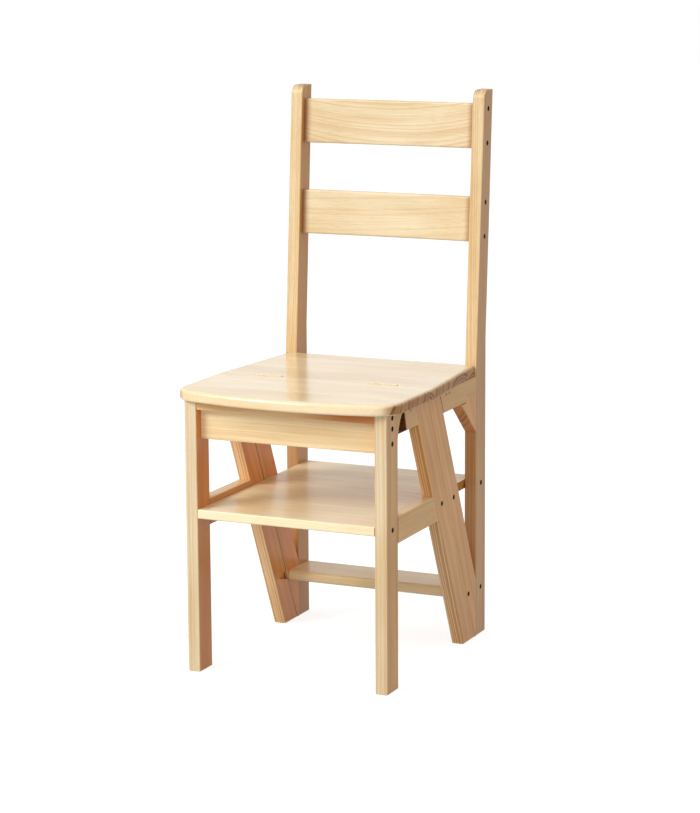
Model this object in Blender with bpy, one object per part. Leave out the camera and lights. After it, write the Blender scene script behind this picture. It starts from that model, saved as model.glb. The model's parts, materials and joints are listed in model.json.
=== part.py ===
"""Library step chair in solid pine: a dining chair whose back half flips over its seat hinge.

Each side of the chair is sawn along one slanted line, which runs from the foot of the back
post up to the hinge in the seat. The front frame stays on the floor. The back frame turns
half a turn forward over the hinge, so that its posts stand in front, its seat half lies on
the other one, and its shelf and low step become the upper treads of a short ladder.

Lengths are in metres. X runs across the chair, Y from front to back, and Z is up. Outlines
are drawn with y = 0 on the front of the front legs, and the pieces are then moved so that
the origin is on the floor under the middle of the chair.
"""
import math

import bmesh
import bpy
from mathutils import Vector

MM = 0.001

# Overall sizes
chair_width = 346 * MM
chair_depth = 408 * MM
seat_height = 457 * MM

# Stock and clearances
side_stock = 21 * MM
fit = 0.3 * MM
saw_gap = 0.5 * MM
edge_round = 2.0 * MM
joint_round = 0.6 * MM
overrun = 5 * MM

# Front legs, which flare at the top to meet the short rail
leg_depth = 43 * MM
leg_flare = 23 * MM
leg_flare_height = 53 * MM
leg_screw_drop = 6 * MM
leg_screw_pitch = 17 * MM
leg_screw_low_pitch = 23.5 * MM

# Back posts: upright to the seat, then leaning back
post_depth = 41.5 * MM
post_front_lean = 32.5 * MM
post_back_lean = 27.5 * MM
post_back_bend = 43 * MM
post_nose_radius = 15 * MM

# Slanted boards on both sides of the saw line, which rises to the hinge
hinge_setback = 152 * MM
slant_width = 44.6 * MM
slant_toe = 4.5 * MM
notch_depth = 6 * MM
notch_base = 74.5 * MM
notch_height = 19.5 * MM
notch_reach = 38 * MM
notch_point_rise = 8.5 * MM

# Seat
seat_stock = 18 * MM
seat_front_width = 376 * MM
seat_back_width = 340 * MM
seat_overhang = 33 * MM
seat_bow_radius = 640 * MM
seat_corner_radius = 42 * MM
seat_edge_round = 6.5 * MM
seat_cut_gap = 1.0 * MM

# Rails under the seat and beside the shelf
top_rail_height = 36 * MM
short_rail_start = 68 * MM
short_rail_slant = 10 * MM
mid_rail_base = 231.5 * MM
mid_rail_height = 43 * MM
plug_drop = 7 * MM
plug_front_inset = 19 * MM
plug_back_inset = 27 * MM
plug_pitch = 12.6 * MM

# Corner blocks between the back rail and the post
gusset_run = 64 * MM
gusset_drop = 57 * MM
gusset_tenon_run = 45 * MM
gusset_tenon_rise = 11 * MM

# Apron and the strip in front of it
apron_height = 62.5 * MM
apron_stock = 18 * MM
apron_setback = 16 * MM
strip_height = 14 * MM
strip_setback = 1.5 * MM

# Shelf and low step
shelf_top = 265 * MM
shelf_stock = 15 * MM
shelf_back_inset = 3 * MM
step_top = 89.5 * MM
step_stock = 18 * MM
step_depth = 76 * MM
step_back_inset = 5 * MM
step_nose_radius = 6 * MM

# Back slats
slat_height = 73.5 * MM
slat_stock = 17 * MM
slat_bow = 8 * MM
slat_setback = 10 * MM
slat_pitch = 151 * MM
slat_drop = 21.5 * MM
slat_edge_round = 3.5 * MM
slat_screw_inset = 9 * MM

# Seat hinges, with the leaves in the sawn faces of the seat
hinge_lift = 0.3 * MM
ladder_clearance = 12.6 * MM
hinge_length = 50 * MM
hinge_spacing = 200 * MM
hinge_knuckles = 5
barrel_radius = 1.6 * MM
pin_radius = 0.8 * MM
leaf_stock = 1.0 * MM
leaf_drop = 15.5 * MM
leaf_gap = 0.2 * MM
hinge_play = 0.3 * MM

# Steel plates behind the open joint of leg and short rail
plate_stock = 2.0 * MM
plate_height = 43 * MM
plate_overlap = 56 * MM
plate_drop = 3 * MM
plate_corner_radius = 4 * MM

# Screw recesses in the outer faces
recess_radius = 3.8 * MM
recess_depth = 4.5 * MM
plug_radius = 1.8 * MM

# Steps of the curves
arc_steps = 8
bow_steps = 16
recess_sides = 14
barrel_sides = 20
round_segments = 3
seat_round_segments = 4

# Finishes: base colour, roughness and metallic value
PINE_FACE = ((0.80, 0.60, 0.34, 1.0), 0.38, 0.0)
PINE_SIDE = ((0.64, 0.43, 0.24, 1.0), 0.42, 0.0)
PINE_TREAD = ((0.88, 0.72, 0.48, 1.0), 0.22, 0.0)
STEEL = ((0.50, 0.50, 0.51, 1.0), 0.30, 1.0)
BRASS = ((0.80, 0.62, 0.33, 1.0), 0.32, 1.0)

# Places worked out from the sizes above
half_width = chair_width / 2
inner_x = half_width - side_stock
board_half = inner_x - fit
post_front = chair_depth - post_depth
post_face = post_front - fit
saw_foot = post_front - slant_toe
seat_base = seat_height - seat_stock
frame_top = seat_base - fit
rail_base = frame_top - top_rail_height
hinge_z = seat_height + hinge_lift
hinge_y = hinge_setback
slant_share = (saw_foot - hinge_y) / hinge_z
saw_half = saw_gap / 2 * math.hypot(1, slant_share)
slant_run = slant_width * math.hypot(1, slant_share)
chair_height = 2 * hinge_z - ladder_clearance
post_share = post_front_lean / (chair_height - seat_height)
post_angle = math.atan(post_share)
shelf_base = shelf_top - shelf_stock
shelf_middle = shelf_top - shelf_stock / 2
step_base = step_top - step_stock
step_middle = step_top - step_stock / 2
origin_y = (seat_overhang - chair_depth - post_back_lean) / 2


def front_slant_back(z):
    """The front slanted board's edge along the saw line, at the height z."""
    return saw_foot - slant_share * z - saw_half


def front_slant_front(z):
    return front_slant_back(z) - slant_run


def back_slant_front(z):
    """The back slanted board's edge along the saw line, at the height z."""
    return saw_foot - slant_share * z + saw_half


def back_slant_back(z):
    return back_slant_front(z) + slant_run


def post_front_at(z):
    """Front edge of the posts, at a height above the seat."""
    return post_front + post_share * (z - seat_height)


def clear_scene():
    for old in list(bpy.data.objects):
        bpy.data.objects.remove(old, do_unlink=True)


def make_material(name, finish):
    colour, roughness, metallic = finish
    material = bpy.data.materials.new(name)
    material.use_nodes = True
    shader = material.node_tree.nodes["Principled BSDF"]
    shader.inputs["Base Color"].default_value = colour
    shader.inputs["Roughness"].default_value = roughness
    shader.inputs["Metallic"].default_value = metallic
    material.diffuse_color = colour
    return material


def make_frame(name, y, z):
    """Empty that carries one of the two frames; the back one stands on the hinge axis."""
    frame = bpy.data.objects.new(name, None)
    frame.location = (0, y + origin_y, z)
    bpy.context.collection.objects.link(frame)
    return frame


def place_object(name, mesh, frame):
    """An object drawn in the outlines' coordinates and carried by a frame."""
    item = bpy.data.objects.new(name, mesh)
    bpy.context.collection.objects.link(item)
    item.parent = frame
    item.location = Vector((0, origin_y, 0)) - frame.location
    return item


def add_piece(name, mesh, frame, finish):
    mesh.materials.append(make_material(name + "_finish", finish))
    return place_object(name, mesh, frame)


def finish_mesh(name, form):
    bmesh.ops.recalc_face_normals(form, faces=form.faces)
    mesh = bpy.data.meshes.new(name)
    form.to_mesh(mesh)
    form.free()
    return mesh


def cut(piece, shapes):
    """Take closed shapes, which lie clear of each other, out of a piece."""
    form = bmesh.new()
    for shape in shapes:
        form.from_mesh(shape)
    cutter = place_object(piece.name + "_cuts", finish_mesh("cuts", form), piece.parent)
    cutter.hide_render = True
    cutter.display_type = "WIRE"
    boolean = piece.modifiers.new("cuts", "BOOLEAN")
    boolean.operation = "DIFFERENCE"
    boolean.solver = "EXACT"
    boolean.object = cutter


def prism(name, outline, low, high, place, square=()):
    """Closed board: an outline swept from low to high, where place(a, b, c) gives a point.

    The edges of the outline get a bevel weight, except those of the sides numbered in
    square, which lie against another piece.
    """
    form = bmesh.new()
    count = len(outline)
    near = [form.verts.new(place(a, b, low)) for a, b in outline]
    far = [form.verts.new(place(a, b, high)) for a, b in outline]
    form.faces.new(near)
    form.faces.new(far)
    for index in range(count):
        after = (index + 1) % count
        form.faces.new((near[index], near[after], far[after], far[index]))
    weight = form.edges.layers.float.new("bevel_weight_edge")
    for ring in (near, far):
        for index in range(count):
            edge = form.edges.get((ring[index], ring[(index + 1) % count]))
            edge[weight] = 0.0 if index in square else 1.0
    return finish_mesh(name, form)


def side_place(a, b, c):
    """An outline in the side plane, of y and z, swept along x."""
    return (c, a, b)


def plan_place(a, b, c):
    """An outline seen from above, of x and y, swept along z."""
    return (a, b, c)


def box(name, low, high):
    corners = [(low[0], low[1]), (high[0], low[1]), (high[0], high[1]), (low[0], high[1])]
    return prism(name, corners, low[2], high[2], plan_place)


def round_edges(piece, width, segments=round_segments):
    bevel = piece.modifiers.new("rounded edges", "BEVEL")
    bevel.limit_method = "WEIGHT"
    bevel.width = width
    bevel.segments = segments


def arc(centre, radius, start, end, steps=arc_steps):
    """Points of an arc, between two angles in degrees."""
    points = []
    for index in range(steps + 1):
        angle = math.radians(start + (end - start) * index / steps)
        points.append((centre[0] + radius * math.cos(angle), centre[1] + radius * math.sin(angle)))
    return points


def cylinder(name, y, z, radius, low, high, sides):
    return prism(name, arc((y, z), radius, 0, 360, sides)[:-1], low, high, side_place)


def side_board(name, side, outline, square, frame, finish, screws=(), plugs=()):
    """A board of one side frame, on side -1 or 1, with the screw recesses of its outer face."""
    low, high = sorted((side * inner_x, side * half_width))
    piece = add_piece(name, prism(name, outline, low, high, side_place, square), frame, finish)
    round_edges(piece, edge_round)
    low, high = sorted((side * (half_width - recess_depth), side * (half_width + overrun)))
    holes = [cylinder(name, y, z, recess_radius, low, high, recess_sides) for y, z in screws]
    holes += [cylinder(name, y, z, plug_radius, low, high, recess_sides) for y, z in plugs]
    if holes:
        cut(piece, holes)
    return piece


def add_front_leg(name, side, frame):
    """Upright leg, whose back edge flares in an arc under the seat."""
    radius = (leg_flare ** 2 + leg_flare_height ** 2) / (2 * leg_flare)
    sweep = math.degrees(math.asin(leg_flare_height / radius))
    flare_base = frame_top - leg_flare_height
    flare = arc((leg_depth + radius, flare_base), radius, 180, 180 - sweep)
    outline = [(0, 0), (leg_depth, 0)] + flare + [(0, frame_top)]
    top_side = len(outline) - 2
    middle = leg_depth / 2
    first = frame_top - leg_screw_drop
    second = first - leg_screw_pitch
    heights = (first, second, second - leg_screw_low_pitch, shelf_middle)
    screws = [(middle, z) for z in heights]
    side_board(name, side, outline, (top_side,), frame, PINE_FACE, screws)


def add_front_slant(name, side, frame):
    """Slanted board in front of the saw line, with a notch in its inner face by the low step."""
    outline = [
        (front_slant_front(0), 0),
        (front_slant_back(0), 0),
        (front_slant_back(frame_top), frame_top),
        (front_slant_front(frame_top), frame_top),
    ]
    centre = (front_slant_front(shelf_middle) + front_slant_back(shelf_middle)) / 2
    piece = side_board(name, side, outline, (2,), frame, PINE_SIDE, [(centre, shelf_middle)])
    corner = front_slant_back(notch_base)
    top = notch_base + notch_height
    fall_share = notch_point_rise / notch_reach
    rise_share = (notch_height - notch_point_rise) / notch_reach
    notch = [
        (corner - notch_reach, notch_base + notch_point_rise),
        (corner + overrun, notch_base - fall_share * overrun),
        (front_slant_back(top) + overrun, top + rise_share * overrun),
    ]
    low, high = sorted((side * (inner_x - overrun), side * (inner_x + notch_depth)))
    cut(piece, [prism(name, notch, low, high, side_place)])


def add_short_rail(name, side, frame):
    """Rail under the seat in front, whose free end is cut to a slant."""
    outline = [
        (short_rail_start + short_rail_slant, rail_base),
        (front_slant_front(rail_base) - fit, rail_base),
        (front_slant_front(frame_top) - fit, frame_top),
        (short_rail_start, frame_top),
    ]
    plugs = [(front_slant_front(frame_top) - plug_front_inset, frame_top - plug_drop)]
    side_board(name, side, outline, (1, 2), frame, PINE_SIDE, (), plugs)


def add_mid_rail(name, side, frame):
    """Side rail beside the front shelf, from the leg to the slanted board."""
    top = mid_rail_base + mid_rail_height
    outline = [
        (leg_depth + fit, mid_rail_base),
        (front_slant_front(mid_rail_base) - fit, mid_rail_base),
        (front_slant_front(top) - fit, top),
        (leg_depth + fit, top),
    ]
    side_board(name, side, outline, (1, 3), frame, PINE_SIDE)


def add_corner_plate(name, side, frame):
    """Flat steel plate on the inner faces of the leg and the short rail."""
    radius = plate_corner_radius
    front = apron_setback + apron_stock + plate_drop
    back = short_rail_start + short_rail_slant + plate_overlap
    top = frame_top - plate_drop
    base = top - plate_height
    outline = arc((front + radius, base + radius), radius, 180, 270)
    outline += arc((back - radius, base + radius), radius, 270, 360)
    outline += arc((back - radius, top - radius), radius, 0, 90)
    outline += arc((front + radius, top - radius), radius, 90, 180)
    low, high = sorted((side * (board_half - plate_stock), side * board_half))
    add_piece(name, prism(name, outline, low, high, side_place), frame, STEEL)


def add_apron(frame):
    """Board under the seat, between the front legs and set back from their faces."""
    low = (-board_half, apron_setback, frame_top - apron_height)
    high = (board_half, apron_setback + apron_stock, frame_top)
    piece = add_piece("apron", box("apron", low, high), frame, PINE_FACE)
    round_edges(piece, joint_round)


def add_seat_strip(frame):
    """Thin strip under the seat, in front of the apron."""
    low = (-board_half, strip_setback, frame_top - strip_height)
    high = (board_half, apron_setback - fit, frame_top)
    piece = add_piece("seat_strip", box("seat_strip", low, high), frame, PINE_FACE)
    round_edges(piece, joint_round)


def seat_half_width(y):
    """The seat is parallel up to the saw cut and narrows from there to the posts."""
    share = max(y - hinge_y, 0) / (post_front - hinge_y)
    return (seat_front_width + (seat_back_width - seat_front_width) * share) / 2


def hinge_centres():
    return (("left", -hinge_spacing / 2), ("right", hinge_spacing / 2))


def hinge_beds(sign):
    """Recess in a sawn face of the seat for each leaf, widened at the top for the barrel."""
    half = hinge_length / 2 + hinge_play
    leaf_reach = leaf_gap + leaf_stock + hinge_play
    barrel_reach = barrel_radius + hinge_play
    section = [
        (-overrun, -leaf_drop - hinge_play),
        (leaf_reach, -leaf_drop - hinge_play),
        (leaf_reach, -barrel_reach),
        (barrel_reach, -barrel_reach),
        (barrel_reach, overrun),
        (-overrun, overrun),
    ]
    outline = [(hinge_y + sign * y, hinge_z + z) for y, z in section]
    return [prism(label, outline, x - half, x + half, side_place) for label, x in hinge_centres()]


def add_seat_front(frame):
    """Front half of the seat: a bowed edge, round corners and a hinge bed in its sawn face."""
    bow_centre = seat_bow_radius - seat_overhang
    corner_x = seat_half_width(0) - seat_corner_radius
    reach = seat_bow_radius - seat_corner_radius
    corner_y = bow_centre - math.sqrt(reach ** 2 - corner_x ** 2)
    turn = math.degrees(math.atan2(corner_y - bow_centre, corner_x))
    bow = arc((0, bow_centre), seat_bow_radius, -180 - turn, turn, bow_steps)
    corner = arc((corner_x, corner_y), seat_corner_radius, turn, 0)[1:]
    sawn = hinge_y - seat_cut_gap / 2
    right = corner + [(seat_half_width(sawn), sawn)]
    left = [(-x, y) for x, y in reversed(right)]
    sawn_side = len(bow) + len(right) - 1
    outline = bow + right + left
    mesh = prism("seat_front", outline, seat_base, seat_height, plan_place, (sawn_side,))
    piece = add_piece("seat_front", mesh, frame, PINE_TREAD)
    round_edges(piece, seat_edge_round, seat_round_segments)
    cut(piece, hinge_beds(-1))


def add_seat_back(frame):
    """Back half of the seat, from the saw line to the posts."""
    sawn = hinge_y + seat_cut_gap / 2
    outline = [
        (-seat_half_width(sawn), sawn),
        (seat_half_width(sawn), sawn),
        (seat_half_width(post_face), post_face),
        (-seat_half_width(post_face), post_face),
    ]
    mesh = prism("seat_back", outline, seat_base, seat_height, plan_place, (0, 2))
    piece = add_piece("seat_back", mesh, frame, PINE_TREAD)
    round_edges(piece, seat_edge_round, seat_round_segments)
    cut(piece, hinge_beds(1))


def soft_corners(outline):
    """The outline with each corner cut back by the edge rounding."""
    points = []
    for index, corner in enumerate(outline):
        for other in (outline[index - 1], outline[(index + 1) % len(outline)]):
            run = Vector(other) - Vector(corner)
            points.append(tuple(Vector(corner) + run.normalized() * edge_round))
    return points


def add_tread(name, outline, frame):
    """Level board between the two side frames, drawn from the side."""
    mesh = prism(name, outline, -board_half, board_half, side_place)
    add_piece(name, mesh, frame, PINE_TREAD)


def add_front_shelf(frame):
    outline = [
        (0, shelf_base),
        (front_slant_back(shelf_base), shelf_base),
        (front_slant_back(shelf_top), shelf_top),
        (0, shelf_top),
    ]
    add_tread("front_shelf", soft_corners(outline), frame)


def add_back_shelf(frame):
    back = chair_depth - shelf_back_inset
    outline = [
        (back_slant_front(shelf_base), shelf_base),
        (back, shelf_base),
        (back, shelf_top),
        (back_slant_front(shelf_top), shelf_top),
    ]
    add_tread("back_shelf", soft_corners(outline), frame)


def add_low_step(frame):
    """Narrow step by the floor, with a rounded front edge."""
    back = chair_depth - step_back_inset
    nose = back - step_depth + step_nose_radius
    outline = [(back, step_base), (back, step_top)]
    outline += arc((nose, step_top - step_nose_radius), step_nose_radius, 90, 180)
    outline += arc((nose, step_base + step_nose_radius), step_nose_radius, 180, 270)
    add_tread("low_step", outline, frame)


def add_back_post(name, side, frame):
    """Post sawn with a bend at the seat, and a rounded front corner at its top."""
    radius = post_nose_radius
    lean = math.degrees(post_angle)
    nose_y = post_front_at(chair_height) + radius * math.tan(math.radians(90 - lean) / 2)
    nose = arc((nose_y, chair_height - radius), radius, 90, 180 - lean)
    outline = [
        (post_front, 0),
        (chair_depth, 0),
        (chair_depth, seat_height + post_back_bend),
        (chair_depth + post_back_lean, chair_height),
    ]
    outline += nose + [(post_front, seat_height)]
    middle = post_front + post_depth / 2
    screws = [(middle, shelf_middle), (middle, step_middle)]
    for top in slat_tops():
        for z in (top - slat_screw_inset, top - slat_height + slat_screw_inset):
            screws.append((post_front_at(z) + slat_setback + slat_stock / 2, z))
    side_board(name, side, outline, (), frame, PINE_SIDE, screws)


def add_back_slant(name, side, frame):
    """Slanted board behind the saw line, whose lower end lies along the post."""
    meet = (back_slant_back(0) - post_face) / slant_share
    outline = [
        (back_slant_front(0), 0),
        (post_face, 0),
        (post_face, meet),
        (back_slant_back(frame_top), frame_top),
        (back_slant_front(frame_top), frame_top),
    ]
    shelf_y = (back_slant_front(shelf_middle) + back_slant_back(shelf_middle)) / 2
    step_y = back_slant_front(step_middle) + recess_radius + recess_depth
    screws = [(shelf_y, shelf_middle), (step_y, step_middle)]
    side_board(name, side, outline, (0, 1, 3), frame, PINE_SIDE, screws)


def add_back_rail(name, side, frame):
    """Rail under the seat at the back, cut out at its end for the corner block."""
    tenon = post_face - gusset_tenon_run
    shoulder = rail_base + gusset_tenon_rise
    outline = [
        (back_slant_back(rail_base) + fit, rail_base),
        (tenon, rail_base),
        (tenon, shoulder),
        (post_face, shoulder),
        (post_face, frame_top),
        (back_slant_back(frame_top) + fit, frame_top),
    ]
    first = back_slant_back(frame_top) + plug_back_inset
    plugs = [(first, frame_top - plug_drop), (first + plug_pitch, frame_top - plug_drop)]
    side_board(name, side, outline, (1, 2, 3, 4, 5), frame, PINE_SIDE, (), plugs)


def add_gusset(name, side, frame):
    """Corner block in the angle of rail and post."""
    top = rail_base - fit
    tenon = post_face - gusset_tenon_run + fit
    outline = [
        (post_face, top - gusset_drop),
        (post_face, top + gusset_tenon_rise),
        (tenon, top + gusset_tenon_rise),
        (tenon, top),
        (post_face - gusset_run, top),
    ]
    side_board(name, side, outline, (0, 1, 2, 3), frame, PINE_SIDE)


def slat_tops():
    """Height of the upper edge of each slat."""
    first = chair_height - slat_drop
    return (first, first - slat_pitch)


def bowed_line(radius, deepest):
    """Line across the chair that is bowed backward, seen from above."""
    points = []
    for index in range(bow_steps + 1):
        x = board_half * (2 * index / bow_steps - 1)
        points.append((x, deepest - radius + math.sqrt(radius ** 2 - x ** 2)))
    return points


def add_slat(name, top, frame):
    """Slat bowed backward between the posts, which leans as their front edges do."""
    radius = (board_half ** 2 + slat_bow ** 2) / (2 * slat_bow)
    front = bowed_line(radius, slat_bow)
    back = bowed_line(radius + slat_stock, slat_bow + slat_stock)
    outline = front + back[::-1]
    ends = (bow_steps, len(outline) - 1)
    mesh = prism(name, outline, -slat_height, 0, plan_place, ends)
    piece = add_piece(name, mesh, frame, PINE_FACE)
    piece.location += Vector((0, post_front_at(top) + slat_setback, top))
    piece.rotation_euler.x = -post_angle
    round_edges(piece, slat_edge_round)


def add_leaf(name, x, sign, frame):
    """Hinge leaf: a plate that hangs in the saw cut, rolled into knuckles round the pin."""
    far = leaf_gap + leaf_stock
    start = -math.degrees(math.acos(far / barrel_radius))
    end = 360 - math.degrees(math.acos(leaf_gap / barrel_radius))
    section = [(leaf_gap, -leaf_drop), (far, -leaf_drop)]
    section += arc((0, 0), barrel_radius, start, end, barrel_sides)
    outline = [(hinge_y + sign * y, hinge_z + z) for y, z in section]
    half = hinge_length / 2
    piece = add_piece(name, prism(name, outline, x - half, x + half, side_place), frame, BRASS)
    pitch = hinge_length / hinge_knuckles
    reach = barrel_radius + overrun
    base = hinge_z - barrel_radius - hinge_play
    gaps = []
    for index in range(0 if sign > 0 else 1, hinge_knuckles, 2):
        low = x - half + index * pitch - hinge_play / 2
        high = low + pitch + hinge_play
        gaps.append(box(name, (low, hinge_y - reach, base), (high, hinge_y + reach, hinge_z + reach)))
    cut(piece, gaps)
    low, high = x - half - overrun, x + half + overrun
    bore = pin_radius + hinge_play
    cut(piece, [cylinder(name, hinge_y, hinge_z, bore, low, high, barrel_sides)])


def add_pin(name, x, frame):
    """Hinge pin, as long as the barrel."""
    half = hinge_length / 2
    mesh = cylinder(name, hinge_y, hinge_z, pin_radius, x - half, x + half, barrel_sides)
    piece = add_piece(name, mesh, frame, BRASS)
    piece.data.shade_smooth()
    piece.data.set_sharp_from_angle(angle=math.radians(40))


def build():
    clear_scene()
    front = make_frame("front_frame", 0, 0)
    back = make_frame("back_frame", hinge_y, hinge_z)
    for label, side in (("left", -1), ("right", 1)):
        add_front_leg("front_leg_" + label, side, front)
        add_front_slant("front_slant_" + label, side, front)
        add_short_rail("short_rail_" + label, side, front)
        add_mid_rail("mid_rail_" + label, side, front)
        add_corner_plate("corner_plate_" + label, side, front)
        add_back_post("back_post_" + label, side, back)
        add_back_slant("back_slant_" + label, side, back)
        add_back_rail("back_rail_" + label, side, back)
        add_gusset("gusset_" + label, side, back)
    add_apron(front)
    add_seat_strip(front)
    add_seat_front(front)
    add_front_shelf(front)
    add_seat_back(back)
    add_back_shelf(back)
    add_low_step(back)
    for name, top in zip(("top_slat", "lower_slat"), slat_tops()):
        add_slat(name, top, back)
    for label, x in hinge_centres():
        add_leaf("hinge_leaf_front_" + label, x, -1, front)
        add_leaf("hinge_leaf_back_" + label, x, 1, back)
        add_pin("hinge_pin_" + label, x, back)


build()
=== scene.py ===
"""Finish and light for the library step chair, a pine chair that flips over into a step ladder.

The treads, seat halves and slats are worked out here as smooth surfaces. The side boards stay
as they were built and get their own stretch of pine each. Lengths are in metres, the chair
faces -y, and the saw line of the two frames meets the hinge axis in the seat.
"""

import json
import math

import bpy
import numpy as np
from mathutils import Matrix, Vector


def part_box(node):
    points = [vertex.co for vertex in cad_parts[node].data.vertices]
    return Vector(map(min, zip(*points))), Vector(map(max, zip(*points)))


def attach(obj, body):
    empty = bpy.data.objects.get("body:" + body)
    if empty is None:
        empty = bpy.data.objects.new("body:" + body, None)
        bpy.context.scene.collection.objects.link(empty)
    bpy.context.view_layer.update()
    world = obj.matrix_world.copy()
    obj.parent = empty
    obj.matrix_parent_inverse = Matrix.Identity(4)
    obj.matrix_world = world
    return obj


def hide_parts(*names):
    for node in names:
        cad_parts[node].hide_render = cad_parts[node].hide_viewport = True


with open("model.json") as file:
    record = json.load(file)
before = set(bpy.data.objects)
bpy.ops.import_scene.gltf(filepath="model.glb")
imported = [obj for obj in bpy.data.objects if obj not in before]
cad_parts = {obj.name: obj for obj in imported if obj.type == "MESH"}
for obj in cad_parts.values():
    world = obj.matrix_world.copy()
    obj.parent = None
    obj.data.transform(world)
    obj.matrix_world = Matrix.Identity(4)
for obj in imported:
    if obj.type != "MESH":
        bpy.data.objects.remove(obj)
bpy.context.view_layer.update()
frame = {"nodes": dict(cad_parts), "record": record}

MM = 0.001

# Seat, as built: bowed front edge, round corners, and the hinge beds in the sawn faces
SEAT_BOW_RADIUS = 640 * MM
SEAT_CORNER_RADIUS = 42 * MM
SEAT_FRONT_WIDTH = 376 * MM
SEAT_BACK_WIDTH = 340 * MM
SEAT_EDGE_ROUND = 6.5 * MM
SEAT_LOW_ROUND = 4.0 * MM
SEAT_CUT_HALF = 0.5 * MM
HINGE_BED_HALF = 25.3 * MM
HINGE_BED_DEPTH = 1.9 * MM
HINGE_PLACE = 100 * MM

# Slats: bowed backward and leaning with the posts
SLAT_HEIGHT = 73.5 * MM
SLAT_STOCK = 17 * MM
SLAT_BOW = 8 * MM
SLAT_EDGE_ROUND = 3.5 * MM
SLAT_SETBACK = 10 * MM
SLAT_DROP = 21.5 * MM
SLAT_PITCH = 151 * MM
POST_LEAN = 32.5 * MM
POST_RISE = 445 * MM
POST_LEAN_SHARE = POST_LEAN / POST_RISE

# Treads, and half of the saw line between the two frames
TREAD_EDGE_ROUND = 2.2 * MM
TREAD_SAWN_ROUND = 0.6 * MM
STEP_NOSE_RADIUS = 6 * MM
SAW_HALF = 0.275 * MM

# Level run of a slanted board, and the middles of a leg and of a post behind their front faces
BOARD_RUN = 49.08 * MM
LEG_MIDDLE = 21.5 * MM
POST_MIDDLE = 20.75 * MM

# Screws and pins in the side boards: heads, which stand on tall dark rims up to about the face and
# so darken their recesses as painted shade, then places
SCREW_RADIUS = 4.5 * MM
SCREW_RIM = 4.62 * MM
SCREW_DOME = 0.2 * MM
SCREW_SLOT = 1.0 * MM
PIN_RADIUS = 1.65 * MM
PIN_RIM = 4.4 * MM
PIN_DOME = 0.3 * MM
PLATE_SCREW_RADIUS = 3.0 * MM
PLATE_SCREW_RIM = 0.5 * MM
PLATE_SCREW_DOME = 1.0 * MM
PLATE_SCREW_SLOT = 0.9 * MM
CROSS_WIDTH_SHARE = 0.13
CROSS_REACH_SHARE = 0.62
CROSS_SIDE_START, CROSS_SIDE_SLOPE = 2.2, 1.6
CROSS_END_START, CROSS_END_SLOPE = 5, 4.6
HEAD_MIDDLE_SHARE = 0.02
HEAD_RIM_SHARE = 0.93
RIM_ROUND_SHARE = 0.08
RECESS_DEPTH = 4.5 * MM
LEG_SCREW_DROPS = (6 * MM, 23 * MM, 46.5 * MM)
SLAT_SCREW_INSETS = (9 * MM, 64.5 * MM)
STEP_SCREW_INSET = 8.3 * MM
PIN_DROP = 7 * MM
PIN_FRONT_INSET = 19 * MM
PIN_BACK_INSET = 27 * MM
PIN_PITCH = 12.6 * MM
PLATE_SCREW_INSET = 7 * MM
PLATE_SCREW_RISE = 8 * MM

# Steps of the curves, the angles in degrees past which an edge is sharp, and the sine under
# which two sides count as one line
BOW_STEPS = 64
CORNER_STEPS = 20
SLAT_STEPS = 48
BOARD_SHARP = 38
SCREW_SHARP = 50
STRAIGHT = 1e-4

# Camera: turn, rise and roll in degrees, lens in mm, and what it aims at from how far away
CAMERA_ANGLES = (24.393, 10.713, -0.337)
CAMERA_LENS = 119.27
CAMERA_SHIFT = (-0.0023, -0.0140)
CAMERA_AIM = (0.02933, -0.01125, 0.4282)
CAMERA_DISTANCE = 4.3002

# Light: strengths of the sky and of the floor's glow, the floor's paint, and the two lamps
# with place, size, watts, and whether they show in the gloss
AMBIENT = 0.58
FLOOR_GLOW = 0.82
FLOOR_REACH = 14.0
FLOOR_GREY = 0.35
FLOOR_ROUGHNESS = 0.95
FLOOR_GLOSS = 0.1
LAMPS = (
    ("key", (-2.6, -3.4, 3.1), 2.4, 165.0, True),
    ("front_fill", (1.2, -4.6, 1.4), 3.0, 48.0, False),
)
LAMP_AIM = (0, 0, 0.45)

joint = frame["record"]["behaviour"]["joints"][0]
HINGE_Y, HINGE_Z = joint["pos_m"][1:]


def low(node):
    """Lowest corner of a built piece."""
    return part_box(node)[0]


def high(node):
    """Highest corner of a built piece."""
    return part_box(node)[1]


def middle(node):
    """Middle of a built piece's box."""
    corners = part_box(node)
    return (corners[0] + corners[1]) / 2


SAW_SLOPE = (high("front_slant_right").y + SAW_HALF - HINGE_Y) / HINGE_Z
BOARD_ANGLE = math.atan(SAW_SLOPE)


def saw_line(z):
    """Place of the saw line at a height: straight from the hinge axis down to the floor."""
    return HINGE_Y + SAW_SLOPE * (HINGE_Z - z)


# Meshes


def arc(centre, radius, start, end, steps):
    """Points of an arc: centre plus radius times cosine and sine, angles in degrees."""
    angles = np.radians(np.linspace(start, end, steps + 1))
    return np.array(centre) + radius * np.stack((np.cos(angles), np.sin(angles)), axis=1)


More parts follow.
